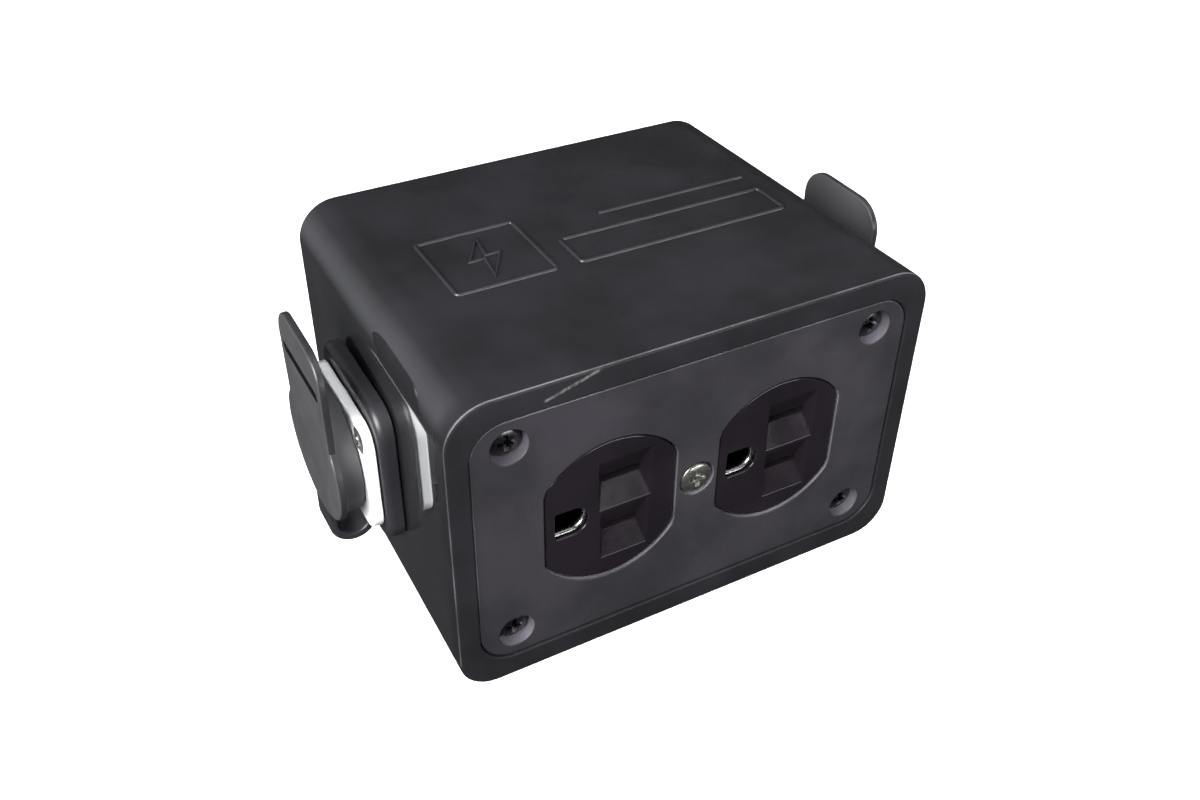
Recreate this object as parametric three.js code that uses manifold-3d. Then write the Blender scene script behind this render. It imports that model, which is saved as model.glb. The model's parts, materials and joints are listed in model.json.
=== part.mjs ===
// Portable power distribution box: a moulded rubber housing with a duplex receptacle in its
// front cover and a locking power connector in each side wall, under a hinged rubber lid.
// Millimetres, +Z up, the front faces -Y, the origin is at the centre of the flat bottom.
import * as THREE from 'three';
import { mergeVertices } from 'three/addons/utils/BufferGeometryUtils.js';
import Module from 'manifold-3d';

const wasm = await Module();
wasm.setup();

// ---- driving dimensions ----
const bodyWidth = 106;
const bodyDepth = 85;
const bodyHeight = 70.5;
const bodyCorner = 9;
const sideDraft = 1.3;
const topDraft = 1.0;
const wall = 7;
const cavityCorner = 4;
const gap = 0.3;
const past = 1;

const front = -bodyDepth / 2;
const duplexZ = bodyHeight / 2;

const plateWidth = 96;
const plateHeight = 58.5;
const plateCorner = 7;
const plateFront = front + 0.4;
const plateThickness = 4.6;
const plateMargin = 0.5;
const plateBack = plateFront + plateThickness;
const seatY = plateBack + gap;

const coverScrewX = 40.5;
const coverScrewZ = 23.5;
const counterboreRadius = 3.8;
const counterboreDepth = 3.2;
const centreRecessRadius = 4;
const centreRecessDepth = 1.2;
const bossRadius = 6.5;
const bossDepth = 17;
const pilotFloor = 1.5;

const faceSpacing = 38.9;
const faceRadius = 17.05;
const faceHalfFlat = 14.3;
const faceFront = plateFront + 0.6;
const faceBack = -30;
const slotSpacing = 12.7;
const slotOffset = 3;
const slotHeight = 1.6;
const upperSlotWidth = 8.8;
const lowerSlotWidth = 7.8;
const funnelWidth = 11.3;
const funnelHeight = 12.2;
const funnelDepth = 2.2;
const groundOffset = 8.2;
const groundRadius = 3.2;
const groundLength = 7.2;
const groundLip = 0.5;
const sleeveThickness = 0.5;
const sleeveEnd = -30.2;
const groundPocketRadius = 3.8;
const groundPocketEnd = -19.5;

const baseWidth = 68;
const baseHeight = 34;
const baseCorner = 2;
const baseFront = faceBack + gap;
const baseBack = -15.5;
const yokeThickness = 1.2;
const yokeHeight = 14;
const yokeTip = 45.4;
const yokeFront = plateBack + 1.8;
const yokeScrewX = 41.65;
const yokeBossRadius = 5;
const terminalX = 12;
const groundScrewX = -26;
const terminalY = -23;

const connectorZ = duplexZ + 1;
const flangeWidth = 31;
const flangeHeight = 26;
const flangeCorner = 5;
const frameWidth = 33.6;
const frameHeight = 33.6;
const frameCorner = 6;
const flangeScrewY = 12;
const flangeScrewZ = 9.5;
const flangeHeadRadius = 2.8;
const flangeHeadHeight = 1.2;
const countersinkRadius = 3.1;
const frameInner = 52.95;
const frameOuter = 56.5;
const flangeInner = frameOuter + gap;
const flangeOuter = 59;
const tubeRadius = 11.8;
const boreRadius = 10.5;
const tubeEnd = 32;
const coreRadius = 6.2;
const coreEnd = 46;
const contactCircle = 4;
const contactRadius = 1.25;
const contactHoleRadius = 1.6;
const insertBack = 30;
const discThickness = 3;
const cupEnd = 22;
const nutRadius = 3.15;
const nutThickness = 2.4;

const lidInner = 63.6;
const lidOuter = 65.2;
const lidHalfDisc = 16;
const lidDrop = 13.4;
const lidHalfWidth = 12.8;
const lidTop = 29.4;
const lidCorner = 7;
const skirtRadius = 13.5;
const plugRadius = 9.4;
const plugDepth = 2.4;
const plugWall = 1.6;
const grooveHeight = 2;
const grooveHalfLength = 10.5;
const grooveRise = 20.5;
const grooveDepth = 0.8;
const strapWidth = 8;
const strapThickness = 1.8;
const hingeX = 60;
const strapBottom = 13.4;
const loopRadiusX = 4.3;
const loopRadiusZ = 4.4;
const rootStraight = 0.3;
const tipStraight = 3.8;
const splitAngle = 0.06;

const clearRadius = 1.9;
const shankRadius = 1.5;
const wireRadius = 1.3;
const embossHeight = 0.4;

// ---- materials ----
const finish = (color, roughness, metalness) => () =>
  new THREE.MeshStandardMaterial({ color, roughness, metalness });
const blackRubber = finish(0x242428, 0.45, 0);
const softRubber = finish(0x303236, 0.7, 0);
const coverPlastic = finish(0x3a3a40, 0.5, 0);
const glossBlack = finish(0x17151b, 0.25, 0);
const whiteNylon = finish(0xe8e6e0, 0.5, 0);
const greyNylon = finish(0x55575c, 0.5, 0);
const steel = finish(0xb8b8ba, 0.3, 1);
const blackSteel = finish(0x3c3c40, 0.35, 1);
const brass = finish(0xc9a04a, 0.3, 1);
const greenSteel = finish(0x2f7d46, 0.4, 1);
const blackWire = finish(0x1a1a1c, 0.5, 0);
const whiteWire = finish(0xdedede, 0.5, 0);
const greenWire = finish(0x2f9146, 0.5, 0);
const redNylon = finish(0xa33126, 0.5, 0);

// ---- solids ----
function toSolid(geometry) {
  geometry.deleteAttribute('normal');
  geometry.deleteAttribute('uv');
  const merged = mergeVertices(geometry, 1e-4);
  const vertProperties = new Float32Array(merged.attributes.position.array);
  const triVerts = new Uint32Array(merged.index.array);
  return new wasm.Manifold(new wasm.Mesh({ numProp: 3, vertProperties, triVerts }));
}

function toGeometry(solid) {
  const { vertProperties, triVerts } = solid.getMesh();
  const geometry = new THREE.BufferGeometry();
  geometry.setAttribute('position', new THREE.BufferAttribute(vertProperties, 3));
  geometry.setIndex(new THREE.BufferAttribute(triVerts, 1));
  geometry.computeVertexNormals();
  return geometry;
}

const cutAll = (solid, cutters) => cutters.reduce((rest, cutter) => rest.subtract(cutter), solid);
const joinAll = (solids) => solids.reduce((all, solid) => all.add(solid));

// A shape drawn in X and Z, swept from y0 back to y1.
function sweepY(shape, y0, y1, curveSegments = 4) {
  const options = { depth: y1 - y0, bevelEnabled: false, curveSegments };
  const geometry = new THREE.ExtrudeGeometry(shape, options);
  geometry.rotateX(Math.PI / 2);
  geometry.translate(0, y1, 0);
  return toSolid(geometry);
}

// A shape drawn in Y and Z, swept from x0 to x1.
function sweepX(shape, x0, x1, curveSegments = 4) {
  const options = { depth: x1 - x0, bevelEnabled: false, curveSegments };
  const geometry = new THREE.ExtrudeGeometry(shape, options);
  const across = new THREE.Vector3(0, 1, 0);
  const up = new THREE.Vector3(0, 0, 1);
  const along = new THREE.Vector3(1, 0, 0);
  geometry.applyMatrix4(new THREE.Matrix4().makeBasis(across, up, along));
  geometry.translate(x0, 0, 0);
  return toSolid(geometry);
}

function block(x0, x1, y0, y1, z0, z1) {
  const geometry = new THREE.BoxGeometry(x1 - x0, y1 - y0, z1 - z0);
  geometry.translate((x0 + x1) / 2, (y0 + y1) / 2, (z0 + z1) / 2);
  return toSolid(geometry);
}

function rodY(radius, y0, y1, x, z, segments = 12) {
  const geometry = new THREE.CylinderGeometry(radius, radius, y1 - y0, segments);
  geometry.translate(x, (y0 + y1) / 2, z);
  return toSolid(geometry);
}

function rodX(radius, x0, x1, y, z, segments = 12) {
  const geometry = new THREE.CylinderGeometry(radius, radius, x1 - x0, segments);
  geometry.rotateZ(-Math.PI / 2);
  geometry.translate((x0 + x1) / 2, y, z);
  return toSolid(geometry);
}

function rodZ(radius, z0, z1, x, y, segments = 12) {
  const geometry = new THREE.CylinderGeometry(radius, radius, z1 - z0, segments);
  geometry.rotateX(Math.PI / 2);
  geometry.translate(x, y, (z0 + z1) / 2);
  return toSolid(geometry);
}

// ---- outlines ----
function roundedRectangle(width, height, radius, centreU = 0, centreV = 0) {
  const u = width / 2;
  const v = height / 2;
  const shape = new THREE.Shape();
  shape.absarc(centreU + u - radius, centreV + v - radius, radius, 0, Math.PI / 2);
  shape.absarc(centreU - u + radius, centreV + v - radius, radius, Math.PI / 2, Math.PI);
  shape.absarc(centreU - u + radius, centreV - v + radius, radius, Math.PI, 1.5 * Math.PI);
  shape.absarc(centreU + u - radius, centreV - v + radius, radius, 1.5 * Math.PI, 2 * Math.PI);
  shape.closePath();
  return shape;
}

// A circle with its left and right sides cut flat.
function duplexOutline(centreX, radius, halfFlat) {
  const angle = Math.acos(halfFlat / radius);
  const shape = new THREE.Shape();
  shape.absarc(centreX, duplexZ, radius, angle, Math.PI - angle);
  shape.absarc(centreX, duplexZ, radius, Math.PI + angle, 2 * Math.PI - angle);
  shape.closePath();
  return shape;
}

// A slot with a flat left end and a round right end.
function groundHoleOutline(centreX, grow = 0) {
  const roundX = centreX - groundOffset;
  const radius = groundRadius + grow;
  const leftX = roundX + groundRadius - groundLength - grow;
  const shape = new THREE.Shape();
  shape.moveTo(leftX, duplexZ - radius);
  shape.absarc(roundX, duplexZ, radius, -Math.PI / 2, Math.PI / 2);
  shape.lineTo(leftX, duplexZ + radius);
  shape.closePath();
  return shape;
}

// An oval disc with a straight-sided grip tab above it.
function lidOutline() {
  const angle = Math.acos(lidHalfWidth / lidHalfDisc);
  const top = connectorZ + lidTop;
  const shape = new THREE.Shape();
  shape.absellipse(0, connectorZ, lidHalfDisc, lidDrop, Math.PI - angle, 2 * Math.PI + angle, false, 0);
  shape.absarc(lidHalfWidth - lidCorner, top - lidCorner, lidCorner, 0, Math.PI / 2);
  shape.absarc(lidCorner - lidHalfWidth, top - lidCorner, lidCorner, Math.PI / 2, Math.PI);
  shape.closePath();
  return shape;
}

// ---- housing ----
function applyDraft(solid) {
  const geometry = toGeometry(solid);
  const position = geometry.attributes.position;
  for (let i = 0; i < position.count; i += 1) {
    const along = (position.getY(i) - front) / bodyDepth;
    position.setX(i, position.getX(i) * (1 - (2 * sideDraft * along) / bodyWidth));
    position.setZ(i, position.getZ(i) * (1 - (topDraft * along) / bodyHeight));
  }
  return toSolid(geometry);
}

// A raised outline with a bolt pictogram in it, a blank label outline and a plain rib beside it.
function topEmblem() {
  const panelX0 = -36;
  const panelX1 = -13.4;
  const panelY0 = -9.5;
  const panelY1 = 13;
  const line = 0.9;
  const low = bodyHeight - topDraft;
  const high = bodyHeight - topDraft / 2 + embossHeight;
  const frame = block(panelX0, panelX1, panelY0, panelY1, low, high).subtract(
    block(panelX0 + line, panelX1 - line, panelY0 + line, panelY1 - line, low - past, high + past));
  const bolt = new THREE.Shape();
  const boltCentre = new THREE.Vector2((panelX0 + panelX1) / 2, (panelY0 + panelY1) / 2);
  const boltHeight = 15;
  const boltHalfWidth = 3.6;
  const slant = 1.2;
  bolt.moveTo(boltCentre.x + slant, boltCentre.y + boltHeight / 2);
  bolt.lineTo(boltCentre.x - boltHalfWidth, boltCentre.y - slant / 2);
  bolt.lineTo(boltCentre.x - slant / 4, boltCentre.y - slant / 2);
  bolt.lineTo(boltCentre.x - slant, boltCentre.y - boltHeight / 2);
  bolt.lineTo(boltCentre.x + boltHalfWidth, boltCentre.y + slant / 2);
  bolt.lineTo(boltCentre.x + slant / 4, boltCentre.y + slant / 2);
  bolt.closePath();
  const options = { depth: high - low, bevelEnabled: false };
  const boltGeometry = new THREE.ExtrudeGeometry(bolt, options);
  boltGeometry.translate(0, 0, low);
  const labelX0 = -9;
  const labelX1 = 41;
  const labelY1 = 1.5;
  const ribX0 = 4;
  const ribY = 7;
  const label = block(labelX0, labelX1, panelY0, labelY1, low, high).subtract(
    block(labelX0 + line, labelX1 - line, panelY0 + line, labelY1 - line, low - past, high + past));
  const rib = block(ribX0, labelX1, ribY, ribY + line, low, high);
  return joinAll([frame, toSolid(boltGeometry), label, rib]);
}

function cornerPoints() {
  const points = [];
  for (const sideX of [-1, 1]) {
    for (const sideZ of [-1, 1]) {
      points.push([sideX * coverScrewX, duplexZ + sideZ * coverScrewZ]);
    }
  }
  return points;
}

function makeHousing() {
  const outline = roundedRectangle(bodyWidth, bodyHeight, bodyCorner, 0, duplexZ);
  const shell = applyDraft(sweepY(outline, front, -front));
  const inside = roundedRectangle(
    bodyWidth - 2 * wall, bodyHeight - 2 * wall, cavityCorner, 0, duplexZ);
  const recess = roundedRectangle(
    plateWidth + 2 * plateMargin, plateHeight + 2 * plateMargin, plateCorner + plateMargin, 0, duplexZ);
  const cavity = sweepY(inside, front - past, -front - wall);
  const seat = sweepY(recess, front - past, seatY);
  const bossBack = seatY + bossDepth;
  const bosses = cornerPoints().map(([x, z]) => rodY(bossRadius, seatY, bossBack, x, z));
  const yokeSeat = yokeFront + yokeThickness + gap;
  const yokeBosses = [-1, 1].map((s) =>
    rodY(yokeBossRadius, yokeSeat, bossBack, s * yokeScrewX, duplexZ));
  const core = shell.intersect(joinAll([...bosses, ...yokeBosses]));
  const pilots = cornerPoints().map(([x, z]) =>
    rodY(clearRadius, seatY - past, bossBack - pilotFloor, x, z));
  const yokePilots = [-1, 1].map((s) =>
    rodY(clearRadius, yokeSeat - past, bossBack - pilotFloor, s * yokeScrewX, duplexZ));
  const connectorHole = rodX(tubeRadius + gap, -bodyWidth, bodyWidth, 0, connectorZ, 24);
  const screwHoles = [];
  for (const side of [-1, 1]) {
    for (const end of [-1, 1]) {
      const inner = side * (bodyWidth / 2 - wall - past);
      const outer = side * (bodyWidth / 2 + past);
      const low = Math.min(inner, outer);
      const high = Math.max(inner, outer);
      const y = side * end * flangeScrewY;
      screwHoles.push(rodX(clearRadius, low, high, y, connectorZ + end * flangeScrewZ, 12));
    }
  }
  const hollow = shell.subtract(cavity).add(core);
  return cutAll(hollow, [seat, connectorHole, ...screwHoles, ...pilots, ...yokePilots]).add(topEmblem());
}

// ---- cover and screws ----
function makeCoverPlate() {
  const outline = roundedRectangle(plateWidth, plateHeight, plateCorner, 0, duplexZ);
  const plate = sweepY(outline, plateFront, plateBack);
  const cutters = cornerPoints().flatMap(([x, z]) => [
    rodY(clearRadius, plateFront - past, plateBack + past, x, z),
    rodY(counterboreRadius, plateFront - past, plateFront + counterboreDepth, x, z, 20),
  ]);
  const openings = [-1, 1].map((s) => duplexOutline(
    (s * faceSpacing) / 2, faceRadius + gap, faceHalfFlat + gap));
  cutters.push(...openings.map((shape) => sweepY(shape, plateFront - past, plateBack + past, 7)));
  cutters.push(rodY(clearRadius, plateFront - past, plateBack + past, 0, duplexZ));
  cutters.push(rodY(centreRecessRadius, plateFront - past, plateFront + centreRecessDepth, 0, duplexZ, 20));
  return cutAll(plate, cutters);
}

// A screw along -Y whose head underside is at the origin; its tip points to +Y.
function screwSolid(headRadius, headHeight, length) {
  const profile = [
    [0, -length],
    [shankRadius * 0.5, -length],
    [shankRadius, -length + 1.5],
    [shankRadius, 0],
    [headRadius, 0],
    [headRadius, headHeight * 0.45],
    [headRadius * 0.72, headHeight],
    [0, headHeight],
  ].map(([radius, height]) => new THREE.Vector2(radius, height));
  const geometry = new THREE.LatheGeometry(profile, 10);
  const crossHalf = headRadius * 0.5;
  const crossThick = headRadius * 0.12;
  const crossDepth = headHeight * 0.65;
  const solid = toSolid(geometry);
  const arm = new THREE.BoxGeometry(2 * crossHalf, 2 * crossDepth, 2 * crossThick);
  const otherArm = new THREE.BoxGeometry(2 * crossThick, 2 * crossDepth, 2 * crossHalf);
  arm.translate(0, headHeight, 0);
  otherArm.translate(0, headHeight, 0);
  return toGeometry(solid.subtract(toSolid(arm).add(toSolid(otherArm))));
}

// The head points along the direction given: 'front' is -Y, 'side' is +X, 'up' and 'down' are Z.
function placeScrew(mesh, direction, x, y, z) {
  mesh.position.set(x, y, z);
  if (direction === 'front') mesh.rotation.x = Math.PI;
  if (direction === 'side') mesh.rotation.z = -Math.PI / 2;
  if (direction === 'up') mesh.rotation.x = Math.PI / 2;
  if (direction === 'down') mesh.rotation.x = -Math.PI / 2;
  return mesh;
}

// ---- receptacle ----
function taperedBox(x, z, slotWidth) {
  const geometry = new THREE.BoxGeometry(1, 1, 1);
  const position = geometry.attributes.position;
  const past = 0.2;
  const slopeX = (funnelWidth - slotWidth) / funnelDepth;
  const slopeZ = (funnelHeight - slotHeight) / funnelDepth;
  for (let i = 0; i < position.count; i += 1) {
    const atFront = position.getY(i) < 0;
    const width = atFront ? funnelWidth + slopeX * past : slotWidth;
    const height = atFront ? funnelHeight + slopeZ * past : slotHeight;
    position.setX(i, x + position.getX(i) * width);
    position.setZ(i, z + position.getZ(i) * height);
    position.setY(i, atFront ? faceFront - past : faceFront + funnelDepth);
  }
  return toSolid(geometry);
}

function makeReceptacleFace() {
  const raised = [-1, 1].map((s) => sweepY(
    duplexOutline((s * faceSpacing) / 2, faceRadius, faceHalfFlat), faceFront, faceBack - 2, 7));
  const flangeFront = seatY;
  const outline = roundedRectangle(baseWidth, baseHeight, baseCorner, 0, duplexZ);
  const cutters = [rodY(clearRadius, flangeFront - past, faceBack + past, 0, duplexZ)];
  for (const side of [-1, 1]) {
    const centre = (side * faceSpacing) / 2;
    cutters.push(sweepY(groundHoleOutline(centre), faceFront - past, faceBack + past));
    const pocket = groundHoleOutline(centre, sleeveThickness + gap);
    cutters.push(sweepY(pocket, faceFront + groundLip, faceBack + past));
    for (const [up, slotWidth] of [[1, upperSlotWidth], [-1, lowerSlotWidth]]) {
      const x = centre + slotOffset;
      const z = duplexZ + (up * slotSpacing) / 2;
      cutters.push(taperedBox(x, z, slotWidth));
      cutters.push(block(x - slotWidth / 2, x + slotWidth / 2, faceFront + funnelDepth - 0.1,
        faceBack + past, z - slotHeight / 2, z + slotHeight / 2));
    }
  }
  return cutAll(joinAll([...raised, sweepY(outline, flangeFront, faceBack, 3)]), cutters);
}

const busX0 = -21.4;
const busX1 = 27.4;
const busBack = -19;
const busFront = -28;
const leaf = 0.8;
const platePosition = 15.6;

function makeReceptacleBase() {
  const outline = roundedRectangle(baseWidth, baseHeight, baseCorner, 0, duplexZ);
  const cutters = [rodY(clearRadius, baseFront - past, baseBack + past, 0, duplexZ)];
  for (const up of [-1, 1]) {
    const inner = duplexZ + up * 4.3;
    const outer = duplexZ + up * (platePosition + 0.5);
    const low = Math.min(inner, outer);
    const high = Math.max(inner, outer);
    cutters.push(block(busX0 - 0.5, busX1 + 0.5, baseFront - past, busBack + 0.5, low, high));
    const side = duplexZ + (up * baseHeight) / 2;
    for (const x of [-terminalX, terminalX]) {
      cutters.push(rodZ(clearRadius, side - 3, side + 3, x, terminalY));
    }
  }
  cutters.push(rodZ(clearRadius, duplexZ - baseHeight / 2 - 1, duplexZ - 10, groundScrewX, terminalY));
  for (const side of [-1, 1]) {
    const x = (side * faceSpacing) / 2 - groundOffset;
    cutters.push(rodY(groundPocketRadius, baseFront - past, groundPocketEnd, x, duplexZ));
  }
  return cutAll(sweepY(outline, baseFront, baseBack, 3), cutters);
}

// A spring clip of two leaves behind the slots, with a plate for the terminal screws.
function makeBus(up) {
  const bladeHalf = slotHeight / 2;
  const slot = slotSpacing / 2;
  const inner = slot - bladeHalf - leaf;
  const points = [
    [busFront, inner],
    [busFront, inner + leaf],
    [busBack - leaf, inner + leaf],
    [busBack - leaf, slot + bladeHalf],
    [busFront, slot + bladeHalf],
    [busFront, slot + bladeHalf + leaf],
    [busBack - leaf, slot + bladeHalf + leaf],
    [busBack - leaf, platePosition - leaf],
    [busFront, platePosition - leaf],
    [busFront, platePosition],
    [busBack, platePosition],
    [busBack, inner],
  ].map(([y, z]) => new THREE.Vector2(y, duplexZ + up * z));
  const bar = sweepX(new THREE.Shape(points), busX0, busX1);
  const plateZ = duplexZ + up * platePosition;
  const holes = [-terminalX, terminalX].map((x) =>
    rodZ(clearRadius, plateZ - 2, plateZ + 2, x, terminalY));
  return cutAll(bar, holes);
}

// A metal sleeve that lines the ground hole behind its lip.
function makeGroundClip(side) {
  const centre = (side * faceSpacing) / 2;
  const clipFront = faceFront + groundLip + gap;
  const outer = sweepY(groundHoleOutline(centre, sleeveThickness), clipFront, sleeveEnd);
  return outer.subtract(sweepY(groundHoleOutline(centre), clipFront - past, sleeveEnd + past));
}

// A steel strap round the back of the receptacle, with an ear at each end for its screw.
function makeYoke() {
  const earBack = yokeFront + yokeThickness;
  const legInner = baseWidth / 2 + 0.6;
  const legOuter = legInner + yokeThickness;
  const strapFront = baseBack + gap;
  const strapBack = strapFront + yokeThickness;
  const half = [
    [yokeTip, yokeFront],
    [yokeTip, earBack],
    [legOuter, earBack],
    [legOuter, strapBack],
  ];
  const innerHalf = [
    [legInner, strapFront],
    [legInner, yokeFront],
  ];
  const shape = new THREE.Shape();
  const points = [
    ...half,
    ...half.slice().reverse().map(([x, y]) => [-x, y]),
    ...innerHalf.slice().reverse().map(([x, y]) => [-x, y]),
    ...innerHalf,
  ];
  shape.setFromPoints(points.map(([x, y]) => new THREE.Vector2(x, y)));
  shape.closePath();
  const options = { depth: yokeHeight, bevelEnabled: false };
  const geometry = new THREE.ExtrudeGeometry(shape, options);
  geometry.translate(0, 0, duplexZ - yokeHeight / 2);
  const holes = [-1, 1].map((s) =>
    rodY(clearRadius, yokeFront - past, earBack + past, s * yokeScrewX, duplexZ));
  return cutAll(toSolid(geometry), holes);
}

// ---- side connector, drawn for the right side ----
const connectorScrews = [-1, 1].map((end) => [end * flangeScrewY, connectorZ + end * flangeScrewZ]);

function makeSealFrame() {
  const outline = roundedRectangle(frameWidth, frameHeight, frameCorner, 0, connectorZ);
  const cutters = connectorScrews.map(([y, z]) =>
    rodX(clearRadius, frameInner - past, frameOuter + past, y, z));
  cutters.push(rodX(tubeRadius + 0.5, frameInner - past, frameOuter + past, 0, connectorZ, 24));
  return cutAll(sweepX(outline, frameInner, frameOuter), cutters);
}

function makeConnectorFlange() {
  const outline = roundedRectangle(flangeWidth, flangeHeight, flangeCorner, 0, connectorZ);
  const plate = sweepX(outline, flangeInner, flangeOuter);
  const tube = rodX(tubeRadius, tubeEnd, flangeInner + past, 0, connectorZ, 24);
  const bore = rodX(boreRadius, tubeEnd - past, flangeOuter + past, 0, connectorZ, 24);
  const holes = connectorScrews.map(([y, z]) =>
    rodX(clearRadius, flangeInner - past, flangeOuter + past, y, z));
  const countersinks = connectorScrews.map(([y, z]) =>
    rodX(countersinkRadius, flangeOuter - flangeHeadHeight - gap, flangeOuter + past, y, z));
  return cutAll(plate.add(tube), [bore, ...holes, ...countersinks]);
}

const contactPlaces = {
  line: [0, -contactCircle],
  neutral: [0, contactCircle],
  ground: [contactCircle, 0],
};
function makeSocketInsert() {
  const disc = rodX(boreRadius - gap, insertBack, insertBack + discThickness, 0, connectorZ, 24);
  const core = rodX(coreRadius, insertBack + past, coreEnd, 0, connectorZ, 24);
  const holes = Object.values(contactPlaces).map(([y, z]) =>
    rodX(contactHoleRadius, insertBack - past, coreEnd + past, y, connectorZ + z, 12));
  return cutAll(disc.add(core), holes);
}

function makeContact([y, z]) {
  const cup = rodX(clearRadius, cupEnd, insertBack - gap, y, connectorZ + z, 12);
  const pin = rodX(contactRadius, insertBack - past, coreEnd - 0.5, y, connectorZ + z, 12);
  return cup.add(pin);
}

function makeNut([y, z]) {
  const nutOuter = bodyWidth / 2 - wall - gap;
  const nutInner = nutOuter - nutThickness;
  const hexagon = rodX(nutRadius, nutInner, nutOuter, y, z, 6);
  return hexagon.subtract(rodX(clearRadius, nutInner - past, nutOuter + past, y, z));
}

function makeLid() {
  const plate = sweepX(lidOutline(), lidInner, lidOuter);
  const skirt = rodX(skirtRadius, flangeOuter + gap, lidInner + past, 0, connectorZ, 24);
  const plug = rodX(plugRadius, flangeOuter - plugDepth, flangeOuter + past, 0, connectorZ, 24);
  const cup = rodX(plugRadius - plugWall, flangeOuter - plugDepth - past, flangeOuter + past, 0, connectorZ, 24);
  const grooveZ = connectorZ + grooveRise;
  const groove = block(lidOuter - grooveDepth, lidOuter + past, -grooveHalfLength, grooveHalfLength,
    grooveZ - grooveHeight / 2, grooveZ + grooveHeight / 2);
  return cutAll(joinAll([plate, skirt, plug]), [cup, groove]);
}

// One half of the rubber loop that hinges the lid, in X and Z; start and end are angles on the loop.
function strapOutline(start, end, rootEnd, tipEnd) {
  const half = strapThickness / 2;
  const centreZ = strapBottom + half + loopRadiusZ;
  const shape = new THREE.Shape();
  const outerX = loopRadiusX + half;
  const outerZ = loopRadiusZ + half;
  const innerX = loopRadiusX - half;
  const innerZ = loopRadiusZ - half;
  if (rootEnd > 0) shape.moveTo(hingeX - outerX, centreZ + rootEnd);
  shape.absellipse(hingeX, centreZ, outerX, outerZ, start, end, false, 0);
  if (tipEnd > 0) shape.lineTo(hingeX + outerX, centreZ + tipEnd);
  if (tipEnd > 0) shape.lineTo(hingeX + innerX, centreZ + tipEnd);
  shape.absellipse(hingeX, centreZ, innerX, innerZ, end, start, true, 0);
  if (rootEnd > 0) shape.lineTo(hingeX - innerX, centreZ + rootEnd);
  shape.closePath();
  return shape;
}

const loopBottom = 1.5 * Math.PI;

function makeStrapRoot() {
  const outline = strapOutline(Math.PI, loopBottom - splitAngle, rootStraight, 0);
  return sweepY(outline, -strapWidth / 2, strapWidth / 2);
}

function makeStrapTip() {
  const outline = strapOutline(loopBottom + splitAngle, 2 * Math.PI, 0, tipStraight);
  return sweepY(outline, -strapWidth / 2, strapWidth / 2);
}

// ---- wiring ----
function wireGeometry(points, radius = wireRadius) {
  const path = new THREE.CatmullRomCurve3(points.map((p) => new THREE.Vector3(...p)));
  const section = new THREE.Shape();
  section.absarc(0, 0, radius, 0, 2 * Math.PI);
  const options = { steps: 10, curveSegments: 4, extrudePath: path };
  return toGeometry(toSolid(new THREE.ExtrudeGeometry(section, options)));
}

const wireStart = cupEnd - 0.5;
const wireLead = wireStart - 3;
const terminalGap = 0.6;
const wireEndY = terminalY + 3.5 + terminalGap;

function mainWire(side, up) {
  const terminalZ = duplexZ + up * (baseHeight / 2 + 1.8);
  const contactZ = connectorZ + up * contactCircle;
  return wireGeometry([
    [side * wireStart, 0, contactZ],
    [side * wireLead, 0, contactZ],
    [side * (terminalX + 1.5), -8, terminalZ - up * 4],
    [side * terminalX, -14.5, terminalZ],
    [side * terminalX, wireEndY, terminalZ],
  ]);
}

const nutFront = 13;
const nutZ = connectorZ;
const nutEnd = nutFront - 0.5;
const nutLead = nutEnd - 2.5;
const nutWireX = 2;
const nutWireUp = 1.4;
const pigtailDrop = 2.6;

function groundWire(side) {
  return wireGeometry([
    [side * wireStart, side * contactCircle, connectorZ],
    [side * wireLead, side * contactCircle, connectorZ],
    [side * 7, nutFront - 6, connectorZ + 1],
    [side * nutWireX, nutLead, connectorZ + nutWireUp],
    [side * nutWireX, nutEnd, connectorZ + nutWireUp],
  ]);
}

function groundPigtail() {
  const terminalZ = duplexZ - baseHeight / 2 - 1.8;
  return wireGeometry([
    [0, nutEnd, nutZ - pigtailDrop],
    [0, nutLead, nutZ - pigtailDrop],
    [-2, nutLead - 4, nutZ - 12],
    [-13, -4, terminalZ - 2],
    [groundScrewX, -14, terminalZ - 0.5],
    [groundScrewX, wireEndY, terminalZ],
  ]);
}

function wireNutGeometry() {
  const profile = [[0, 0], [5.2, 0], [5.2, 4], [3.2, 15], [0, 16]]
    .map(([radius, height]) => new THREE.Vector2(radius, height));
  const geometry = new THREE.LatheGeometry(profile, 12);
  geometry.translate(0, nutFront, nutZ);
  return toGeometry(toSolid(geometry));
}

// ---- assembly ----
const box = new THREE.Group();

function addPiece(group, name, geometry, material) {
  const mesh = new THREE.Mesh(geometry, material());
  mesh.name = name;
  group.add(mesh);
  return mesh;
}

const addSolid = (group, name, solid, material) => addPiece(group, name, toGeometry(solid), material);

addSolid(box, 'housing', makeHousing(), blackRubber);
addSolid(box, 'cover_plate', makeCoverPlate(), coverPlastic);

const coverHeadY = plateFront + counterboreDepth - gap;
cornerPoints().forEach(([x, z], index) => {
  const screw = addPiece(box, `cover_screw_${index + 1}`, screwSolid(3.1, 1.5, 16), blackSteel);
  placeScrew(screw, 'front', x, coverHeadY, z);
});
const faceScrew = addPiece(box, 'face_screw', screwSolid(3.6, 1.1, 15), steel);
placeScrew(faceScrew, 'front', 0, plateFront + centreRecessDepth - gap, duplexZ);

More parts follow.
